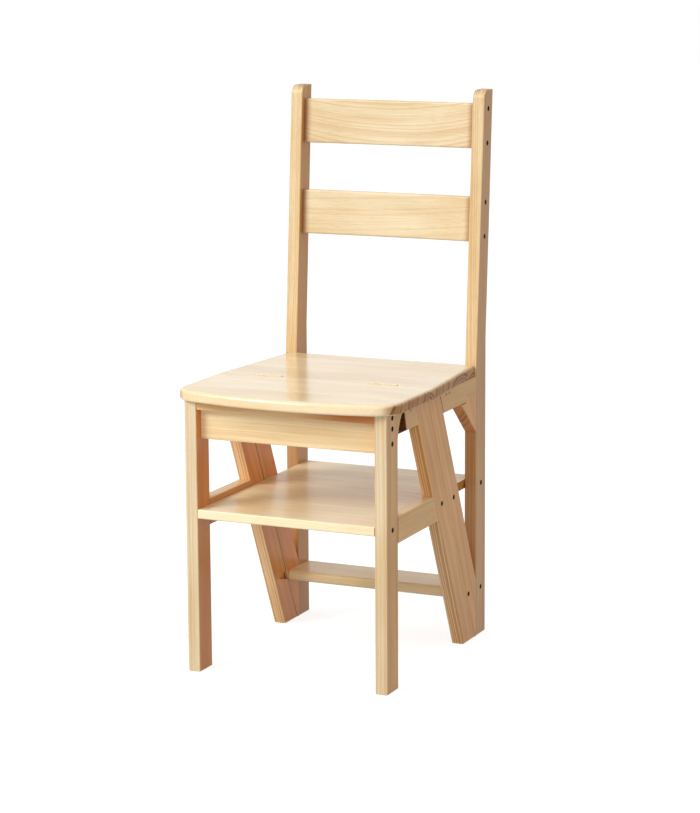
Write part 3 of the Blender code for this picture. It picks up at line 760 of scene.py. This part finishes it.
def pine(name, centre, grain, face, seed, early=EARLY, late=LATE, contrast=0.5, ring=6 * MM,
         pith=(12, -60), lean=(0.0, 0.0), arch=0.0, wander=8 * MM, roughness=0.38, coat=0.1,
         gloss=0.28, broad=WHITE, inner=None, calm=0.0, end=0.5, end_tint=END, painted_shade_marks=(),
         relief=0.25, plank=None):
    """Lacquered pine, cut from its own place in a trunk.

    centre, grain and face place the board: x of its own coordinates runs along the grain,
    z across its thickness. pith is where the trunk's middle lies from the board, in mm.
    broad tints the two wide faces, partly as grain tone and partly as painted shade, inner
    paints warmer shade on the one that faces inward, and calm fades their figure. end is how
    far the sawn ends darken to end_tint. relief is how much of the grain stands up through the
    lacquer. A painted shade mark is a tint, the own coordinate that it follows, or its distance
    from 0 as |X|, the places where it starts and is full, and its faces, which are all, narrow
    or inner; the one along a sawn edge is partly a dark joint. plank is the width and the
    offset of the planks in a glued board.
    """
    material = bpy.data.materials.new(name)
    material.use_nodes = True
    tree = material.node_tree
    shader = tree.nodes["Principled BSDF"]
    grain, face = Vector(grain).normalized(), Vector(face).normalized()
    source = tree.nodes.new("ShaderNodeTexCoord")
    place = own_place(tree, source.outputs["Object"], centre, grain, face)
    chance = np.random.default_rng(seed).uniform(0.0, 9.0, 3).tolist()
    if plank:
        width, offset = plank
        glued = place_group(tree, "planks", Vector=place, Width=width, Offset=offset, Seed=chance)
        place = glued["Vector"]
    rings = place_group(
        tree, "rings", Vector=place, Seed=chance, Pith=(0, pith[0] * MM, pith[1] * MM),
        Lean=(0, *lean), Arch=arch, Wander=wander, Ring_Width=ring,
    )
    fibre = place_group(tree, "fibre", Vector=place, Seed=chance)
    edges = place_group(tree, "edges", Normal=source.outputs["Normal"], Face=face, Grain=grain)
    lacquer = place_group(
        tree, "lacquer", Vector=place, Seed=chance, Roughness=roughness, Spread=ROUGHNESS_SPREAD,
    )

    cloud = smooth_step(tree, fibre["Cloud"], *CLOUD_RANGE)
    body = mix_colour(tree, cloud, linear(early), linear(np.array(early) * CLOUD_SHARES))
    shown = math_node(tree, "MULTIPLY_ADD", edges["Broad"], -calm * contrast, contrast)
    shown = math_node(tree, "MULTIPLY_ADD", edges["End"], END_FIGURE * end, shown)
    late_end = linear(np.array(late) * END_LATE_SHARES)
    late_tone = mix_colour(tree, edges["End"], linear(late), late_end)
    figure = math_node(tree, "MULTIPLY", rings["Late Wood"], shown)
    body = mix_colour(tree, figure, body, late_tone)
    streak = smooth_step(tree, fibre["Streak"], *STREAK_RANGE, *STREAK_SHARES)
    body = mix_colour(tree, 1.0, body, streak, "MULTIPLY")
    # Painted shade marks: tints that darken a stretch of the board where shade falls
    for shade_mark in painted_shade_marks:
        body = paint_shade(tree, body, place, edges, *shade_mark)
    # Wide faces: the broad tint, partly grain tone and partly painted shade, and on the inward face
    # the inner tint, painted warm shade
    wide = mix_colour(tree, edges["Inner"], linear(broad), linear(inner or broad))
    wide = mix_colour(tree, 1.0, body, wide, "MULTIPLY")
    body = mix_colour(tree, edges["Broad"], body, wide)
    duct = math_node(tree, "MULTIPLY", fibre["Duct"], DUCT_SHOW)
    body = mix_colour(tree, duct, body, linear(DUCT))
    sawn = math_node(tree, "MULTIPLY", edges["End"], end)
    body = mix_colour(tree, sawn, body, linear(end_tint), "MULTIPLY")
    if plank:
        tone = smooth_step(tree, glued["Tone"], 0.0, 1.0, *PLANK_SHARES)
        body = mix_colour(tree, 1.0, body, tone, "MULTIPLY")
        seam = math_node(tree, "MULTIPLY_ADD", edges["End"], END_SEAM_SHOW, SEAM_SHOW)
        seam = math_node(tree, "MULTIPLY", glued["Joint"], seam)
        body = mix_colour(tree, seam, body, linear(DUCT))
    # Arrises paler: partly wear, partly a painted highlight
    arris_wear_and_highlight = math_node(tree, "MULTIPLY", edges["Arris"], ARRIS_WEAR_AND_HIGHLIGHT_SHOW)
    feed(tree, shader.inputs["Base Color"], mix_colour(tree, arris_wear_and_highlight, body, linear(ARRIS_WEAR_AND_HIGHLIGHT)))

    rough = math_node(tree, "MULTIPLY_ADD", edges["End"], END_MATT, lacquer["Roughness"])
    feed(tree, shader.inputs["Roughness"], rough)
    shader.inputs["Specular IOR Level"].default_value = gloss
    weight = math_node(tree, "MULTIPLY_ADD", edges["End"], -END_COAT_LOSS * coat, coat)
    feed(tree, shader.inputs["Coat Weight"], weight)
    shader.inputs["Coat Roughness"].default_value = COAT_ROUGHNESS
    fine = math_node(tree, "MULTIPLY", fibre["Streak"], STREAK_HEIGHT)
    height = math_node(tree, "MULTIPLY_ADD", rings["Late Wood"], LATE_HEIGHT, fine)
    height = math_node(tree, "MULTIPLY_ADD", lacquer["Ripple"], RIPPLE_HEIGHT, height)
    pit = math_node(tree, "MULTIPLY", fibre["Duct"], DUCT_PIT)
    raise_surface(tree, shader, math_node(tree, "SUBTRACT", height, pit), relief, GRAIN_DEPTH)
    return material


def raise_surface(tree, shader, height, strength, depth):
    """Let a height that goes from 0 to 1 stand up from the surface by a depth."""
    bump = tree.nodes.new("ShaderNodeBump")
    bump.inputs["Strength"].default_value = strength
    bump.inputs["Distance"].default_value = depth
    feed(tree, bump.inputs["Height"], height)
    feed(tree, shader.inputs["Normal"], bump.outputs["Normal"])


def metal(name, colour, dark, roughness, brushed, bare=1.0):
    """Metal with a drawn finish along x, smudges and tarnish, bare or under matt lacquer."""
    material = bpy.data.materials.new(name)
    material.use_nodes = True
    tree = material.node_tree
    shader = tree.nodes["Principled BSDF"]
    place = tree.nodes.new("ShaderNodeTexCoord").outputs["Object"]
    smudge = noise(tree, vector_node(tree, "MULTIPLY", place, SMUDGES), 4.0, 0.6).outputs[0]
    drawn = noise(tree, vector_node(tree, "MULTIPLY", place, BRUSH_LINES), 2.0).outputs[0]
    tarnish = smooth_step(tree, smudge, *TARNISH_RANGE)
    tint = mix_colour(tree, tarnish, linear(colour), linear(dark))
    feed(tree, shader.inputs["Base Color"], tint)
    shader.inputs["Metallic"].default_value = bare
    roughest = roughness + SMUDGE_ROUGHER
    rough = smooth_step(tree, smudge, *SMUDGE_RANGE, roughness - SMUDGE_SMOOTHER, roughest)
    feed(tree, shader.inputs["Roughness"], rough)
    raise_surface(tree, shader, drawn, brushed, BRUSH_DEPTH)
    return material


def finish_node(node, material):
    """Give a built piece its finish."""
    slots = frame["nodes"][node].data.materials
    slots.clear()
    slots.append(material)


# Boards: finish of every wooden piece

X, Y, Z = Vector((1, 0, 0)), Vector((0, 1, 0)), Vector((0, 0, 1))
SLANT = Vector((0, -math.sin(BOARD_ANGLE), math.cos(BOARD_ANGLE)))

# Tones of single boards, and tints of their wide faces, partly grain tone and partly painted shade;
# the inner tints paint warmer shade on the faces that look inward
LEG_EARLY = (231, 212, 176)
LEG_BROAD_TONE_AND_SHADE = (247, 208, 150)
LEG_INNER_PAINTED_SHADE = (249, 181, 122)
POST_EARLY = (230, 204, 160)
POST_BROAD_TONE_AND_SHADE = (236, 203, 164)
BOARD_EARLY = (250, 207, 155)
BOARD_BROAD_TONE_AND_SHADE = (242, 217, 170)
RAIL_BROAD_TONE_AND_SHADE = (248, 224, 184)
INNER_PAINTED_SHADE = (250, 203, 149)
SLANT_LATE = (160, 96, 46)
SLAT_EARLY = (234, 216, 180)
APRON_EARLY = (250, 225, 179)
STRIP_EARLY = (240, 204, 152)
SEAT_EARLY = (248, 224, 182)
SEAT_END = (206, 162, 116)
TREAD_EARLY = (255, 238, 198)
STEP_EARLY = (255, 232, 186)

# Tones of the metals, clean and tarnished; the screws' are near black, partly their own colour and
# partly painted shade of their recesses
SCREW_AND_RECESS_SHADE_TONES = ((30, 18, 10), (20, 12, 7))
# The plates are dark, partly steel and partly painted shade of the narrow gap they are seen through
PLATE_GAP_SHADE_TONES = ((70, 65, 61), (48, 43, 40))
HINGE_TONES = ((238, 218, 182), (228, 206, 168))

# Painted shade: the narrow faces of the posts darker downwards from near their middle and
# those of the gussets darker, where the seat shades them, the slats' ends darker where they
# meet the posts, the strip darker towards its +x end under the seat, and a line along a
# sawn edge that is partly a dark joint and partly painted shade of the saw gap
UNDER_SEAT_PAINTED_SHADE = (226, 196, 172)
POST_PAINTED_SHADE = (UNDER_SEAT_PAINTED_SHADE, "X", 0.02, -0.04, "narrow")
GUSSET_PAINTED_SHADE = (UNDER_SEAT_PAINTED_SHADE, "X", 0.5, 0.4, "narrow")
SLAT_END_PAINTED_SHADE = ((170, 120, 78), "|X|", 0.137, 0.1535, "all")
STRIP_PAINTED_SHADE = ((214, 166, 118), "X", -0.02, 0.11, "all")
SAWN_JOINT_AND_SHADE = (112, 68, 42)
SAWN_START = 5.2 * MM
SAWN_FULL = 1.4 * MM

# Seeds of the side boards: the first, and the step from one kind of board to the next
SIDE_SEED = 40
SEED_STEP = 11


def sawn_side(sign):
    """Dark line on the inner face of a slanted board along its sawn edge: partly a dark joint,
    partly painted shade of the saw gap.
    """
    half = BOARD_RUN * math.cos(BOARD_ANGLE) / 2
    return (SAWN_JOINT_AND_SHADE, "Y", sign * (half - SAWN_START), sign * (half - SAWN_FULL), "inner")


def finish_side_boards():
    """Each side board has its grain along its length and its face across the chair."""
    # Posts and gussets carry painted shade on their narrow faces
    leg = dict(ring=7 * MM, pith=(-16, -84), contrast=0.42, early=LEG_EARLY, broad=LEG_BROAD_TONE_AND_SHADE,
               inner=LEG_INNER_PAINTED_SHADE)
    post = dict(ring=6.5 * MM, pith=(-12, 78), contrast=0.65, calm=0.2, early=POST_EARLY,
                broad=POST_BROAD_TONE_AND_SHADE, end=0.15, painted_shade_marks=(POST_PAINTED_SHADE,))
    rail = dict(ring=6.5 * MM, pith=(60, -26), contrast=0.3, end=1.0, broad=RAIL_BROAD_TONE_AND_SHADE,
                inner=INNER_PAINTED_SHADE)
    slant = dict(ring=7 * MM, contrast=0.8, calm=0.7, early=BOARD_EARLY, late=SLANT_LATE,
                 end=0.7, broad=BOARD_BROAD_TONE_AND_SHADE, inner=INNER_PAINTED_SHADE)
    gusset = slant | dict(pith=(60, -30), painted_shade_marks=(GUSSET_PAINTED_SHADE,))
    for number, (label, side) in enumerate((("left", -1), ("right", 1))):
        front_slant = slant | dict(ring=6.5 * MM, pith=(-20, -74), painted_shade_marks=(sawn_side(-side),))
        back_slant = slant | dict(pith=(24, -80), painted_shade_marks=(sawn_side(side),))
        boards = (
            ("front_leg_", Z, leg),
            ("back_post_", Z, post),
            ("front_slant_", SLANT, front_slant),
            ("back_slant_", SLANT, back_slant),
            ("short_rail_", Y, rail | dict(end_tint=GAP_END_PAINTED_SHADE)),
            ("mid_rail_", Y, rail),
            ("back_rail_", Y, rail),
            ("gusset_", SLANT, gusset),
        )
        for turn, (stem, grain, look) in enumerate(boards):
            node = stem + label
            seed = SIDE_SEED + SEED_STEP * turn + number
            board = pine(node + "_pine", middle(node), grain, X * side, seed, **look)
            finish_node(node, board)


def finish_crossboards():
    """The apron and the strip in front of it keep their built shapes, with the grain across."""
    apron = dict(early=APRON_EARLY, contrast=0.32, ring=12 * MM, pith=(-86, -30),
                 wander=14 * MM)
    # The strip darkens towards +x as painted shade under the seat
    strip = dict(early=STRIP_EARLY, contrast=0.6, ring=5 * MM, wander=16 * MM,
                 painted_shade_marks=(STRIP_PAINTED_SHADE,))
    for node, seed, look in (("apron", 5, apron), ("seat_strip", 8, strip)):
        finish_node(node, pine(node + "_pine", middle(node), X, -Y, seed, **look))


def new_boards():
    """The seat, treads and slats: piece, body, built piece it stands for, slot and finish."""
    slat_top = high("back_post_right").z - SLAT_DROP
    lean = math.atan(POST_LEAN_SHARE)
    slat_face = X.cross(Vector((0, math.sin(lean), math.cos(lean)))) * -1
    seat = dict(roughness=0.24, coat=0.45, gloss=0.5, relief=0.06, contrast=0.12, ring=8 * MM,
                pith=(74, -52), wander=5 * MM, early=SEAT_EARLY, end=1.0, end_tint=SEAT_END)
    tread = dict(roughness=0.34, coat=0.2, gloss=0.3, relief=0.06, contrast=0.24, ring=9 * MM,
                 pith=(70, -56), wander=5 * MM, early=TREAD_EARLY, end=1.0)
    seat_front = seat | dict(plank=(92 * MM, 20 * MM))
    seat_back = seat | dict(plank=(96 * MM, 30 * MM))
    front_shelf = tread | dict(plank=(98 * MM, 10 * MM))
    back_shelf = tread | dict(plank=(98 * MM, 42 * MM))
    low_step = tread | dict(early=STEP_EARLY)
    # The slats' ends darken as painted shade where they meet the posts
    slat = dict(early=SLAT_EARLY, painted_shade_marks=(SLAT_END_PAINTED_SHADE,))
    top_slat = slat | dict(ring=7.5 * MM, pith=(64, -40), arch=0.5, wander=11 * MM,
                           contrast=0.46)
    lower_slat = slat | dict(ring=11 * MM, pith=(-62, -40), arch=0.3, lean=(-0.05, 0.0),
                             wander=13 * MM, contrast=0.32)
    boards = (
        (make_seat_front(), "front_frame", "seat_front", "pine_tread", Z, 3, seat_front),
        (make_seat_back(), "back_frame", "seat_back", "pine_tread", Z, 14, seat_back),
        (make_front_shelf(), "front_frame", "front_shelf", "pine_tread", Z, 21, front_shelf),
        (make_back_shelf(), "back_frame", "back_shelf", "pine_tread", Z, 23, back_shelf),
        (make_low_step(), "back_frame", "low_step", "pine_tread", Z, 27, low_step),
        (make_slat("top_slat_board", "top_slat", slat_top),
         "back_frame", "top_slat", "pine_face", slat_face, 31, top_slat),
        (make_slat("lower_slat_board", "lower_slat", slat_top - SLAT_PITCH),
         "back_frame", "lower_slat", "pine_face", slat_face, 36, lower_slat),
    )
    for piece, body, node, slot, face, seed, look in boards:
        yield piece, body, node, slot, pine(node + "_pine", middle(node), X, face, seed, **look)


def make_fasteners():
    """Screws in every recess, pins in the top rails, and the screws of the steel plates."""
    shelf, step = middle("front_shelf").z, middle("low_step").z
    leg = low("front_leg_right").y + LEG_MIDDLE
    leg_top = high("front_leg_right").z
    post = low("back_post_right").y
    chair_top, seat = high("back_post_right").z, high("seat_back").z
    front = [(leg, leg_top - drop) for drop in LEG_SCREW_DROPS]
    front += [(leg, shelf), (saw_line(shelf) - SAW_HALF - BOARD_RUN / 2, shelf)]
    back = [
        (saw_line(shelf) + SAW_HALF + BOARD_RUN / 2, shelf),
        (saw_line(step) + SAW_HALF + STEP_SCREW_INSET, step),
        (post + POST_MIDDLE, shelf),
        (post + POST_MIDDLE, step),
    ]
    for drop in (SLAT_DROP, SLAT_DROP + SLAT_PITCH):
        for inset in SLAT_SCREW_INSETS:
            z = chair_top - drop - inset
            slat = post + POST_LEAN_SHARE * (z - seat) + SLAT_SETBACK
            back.append((slat + SLAT_STOCK / 2, z))
    pin_z = leg_top - PIN_DROP
    front_pins = [(saw_line(leg_top) - SAW_HALF - BOARD_RUN - PIN_FRONT_INSET, pin_z)]
    first = saw_line(leg_top) + SAW_HALF + BOARD_RUN + PIN_BACK_INSET
    back_pins = [(first, pin_z), (first + PIN_PITCH, pin_z)]
    a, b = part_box("corner_plate_right")
    plate = [
        (y, z)
        for y in (a.y + PLATE_SCREW_INSET, b.y - PLATE_SCREW_INSET)
        for z in (a.z + PLATE_SCREW_RISE, b.z - PLATE_SCREW_RISE)
    ]
    outer = high("front_leg_right").x - RECESS_DEPTH
    screw = screw_head(SCREW_RADIUS, SCREW_RIM, SCREW_DOME, SCREW_SLOT)
    pin = screw_head(PIN_RADIUS, PIN_RIM, PIN_DOME, rings=6, spokes=16)
    plate_screw = screw_head(
        PLATE_SCREW_RADIUS, PLATE_SCREW_RIM, PLATE_SCREW_DOME, PLATE_SCREW_SLOT
    )
    sets = (
        ("front_frame_screws", "front_frame", front, screw, outer, 1),
        ("back_frame_screws", "back_frame", back, screw, outer, 1),
        ("front_frame_pins", "front_frame", front_pins, pin, outer, 1),
        ("back_frame_pins", "back_frame", back_pins, pin, outer, 1),
        ("plate_screws", "front_frame", plate, plate_screw, a.x, -1),
    )
    made = []
    for name, body, places, shape, x, facing in sets:
        corners = [(side * x, y, z) for side in (-1, 1) for y, z in places]
        sides = [side * facing for side in (-1, 1) for _ in places]
        made.append((screws(name, corners, shape, sides), body))
    return made


def seen_directly(tree):
    """1 where the camera, a reflection or a see-through surface looks, 0 for bounced light."""
    path = tree.nodes.new("ShaderNodeLightPath")
    seen = math_node(tree, "MAXIMUM", path.outputs["Is Camera Ray"], path.outputs["Is Glossy Ray"])
    return math_node(tree, "MAXIMUM", seen, path.outputs["Is Transmission Ray"])


def make_floor():
    """White floor: paint that catches the chair's shadow, and a glow that makes it white.

    The camera and reflections see the glow. Light that bounces up comes from the paint alone.
    """
    mesh = bpy.data.meshes.new("floor")
    corners = np.array(((-1, -1, 0), (1, -1, 0), (1, 1, 0), (-1, 1, 0))) * FLOOR_REACH
    mesh.from_pydata(corners, [], [(0, 1, 2, 3)])
    floor = bpy.data.objects.new("floor", mesh)
    bpy.context.scene.collection.objects.link(floor)
    paint = bpy.data.materials.new("floor_paint")
    paint.use_nodes = True
    tree = paint.node_tree
    shader = tree.nodes["Principled BSDF"]
    shader.inputs["Base Color"].default_value = (FLOOR_GREY, FLOOR_GREY, FLOOR_GREY, 1)
    shader.inputs["Roughness"].default_value = FLOOR_ROUGHNESS
    shader.inputs["Specular IOR Level"].default_value = FLOOR_GLOSS
    glow = tree.nodes.new("ShaderNodeEmission")
    strength = math_node(tree, "MULTIPLY", seen_directly(tree), FLOOR_GLOW)
    feed(tree, glow.inputs["Strength"], strength)
    both = tree.nodes.new("ShaderNodeAddShader")
    tree.links.new(shader.outputs[0], both.inputs[0])
    tree.links.new(glow.outputs[0], both.inputs[1])
    tree.links.new(both.outputs[0], tree.nodes["Material Output"].inputs["Surface"])
    mesh.materials.append(paint)
    return floor


def make_sky():
    """White where it is seen directly, and a plain soft light from all sides otherwise."""
    world = bpy.data.worlds.new("studio")
    bpy.context.scene.world = world
    world.use_nodes = True
    tree = world.node_tree
    tree.nodes.clear()
    output = tree.nodes.new("ShaderNodeOutputWorld")
    choose = tree.nodes.new("ShaderNodeMixShader")
    feed(tree, choose.inputs[0], seen_directly(tree))
    for socket, strength in zip(choose.inputs[1:], (AMBIENT, 1.0)):
        light = tree.nodes.new("ShaderNodeBackground")
        light.inputs["Color"].default_value = (1, 1, 1, 1)
        light.inputs["Strength"].default_value = strength
        tree.links.new(light.outputs[0], socket)
    tree.links.new(choose.outputs[0], output.inputs["Surface"])


def place_lamps():
    """A wide key light from the upper left front, and a soft fill that casts no glare."""
    for name, place, size, power, shines in LAMPS:
        lamp = bpy.data.lights.new(name, "AREA")
        lamp.shape = "DISK"
        lamp.size = size
        lamp.energy = power
        item = bpy.data.objects.new(name, lamp)
        item.location = place
        item.visible_glossy = shines
        aim = Vector(LAMP_AIM) - Vector(place)
        item.rotation_euler = aim.to_track_quat("-Z", "Y").to_euler()
        bpy.context.scene.collection.objects.link(item)


def place_camera():
    """Long lens from the right front, a little above the seat."""
    azimuth, elevation, roll = (math.radians(angle) for angle in CAMERA_ANGLES)
    level = math.cos(elevation)
    back = Vector((math.sin(azimuth) * level, -math.cos(azimuth) * level, math.sin(elevation)))
    right = (-back).cross(Z).normalized()
    up = right.cross(-back)
    side = right * math.cos(roll) + up * math.sin(roll)
    top = up * math.cos(roll) - right * math.sin(roll)
    lens = bpy.data.cameras.new("camera")
    lens.lens = CAMERA_LENS
    lens.shift_x, lens.shift_y = CAMERA_SHIFT
    camera = bpy.data.objects.new("camera", lens)
    turn = Matrix((side, top, back)).transposed().to_4x4()
    place = Vector(CAMERA_AIM) + back * CAMERA_DISTANCE
    camera.matrix_world = Matrix.Translation(place) @ turn
    bpy.context.scene.collection.objects.link(camera)
    bpy.context.scene.camera = camera


finish_side_boards()
finish_crossboards()
for piece, body, node, slot, material in new_boards():
    piece.data.materials.append(material)
    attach(piece, body)
    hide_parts(node)

# Near-black screw steel: partly the screws' colour, partly painted shade of the recesses that the
# heads fill
dark_screw_steel_and_shade = metal("screw_steel", *SCREW_AND_RECESS_SHADE_TONES, roughness=0.5, brushed=0.1)
for piece, body in make_fasteners():
    piece.data.materials.append(dark_screw_steel_and_shade)
    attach(piece, body)

# Dark plate steel: partly painted shade of the gap
plate_steel = metal("plate_steel", *PLATE_GAP_SHADE_TONES, roughness=0.40, brushed=0.3)
hinge_brass = metal("hinge_brass", *HINGE_TONES, roughness=0.8, brushed=0.1, bare=0.0)
for label in ("left", "right"):
    finish_node("corner_plate_" + label, plate_steel)
    for stem in ("hinge_leaf_front_", "hinge_leaf_back_", "hinge_pin_"):
        finish_node(stem + label, hinge_brass)

make_floor()
make_sky()
place_lamps()
place_camera()
bpy.context.scene.view_settings.view_transform = "Standard"
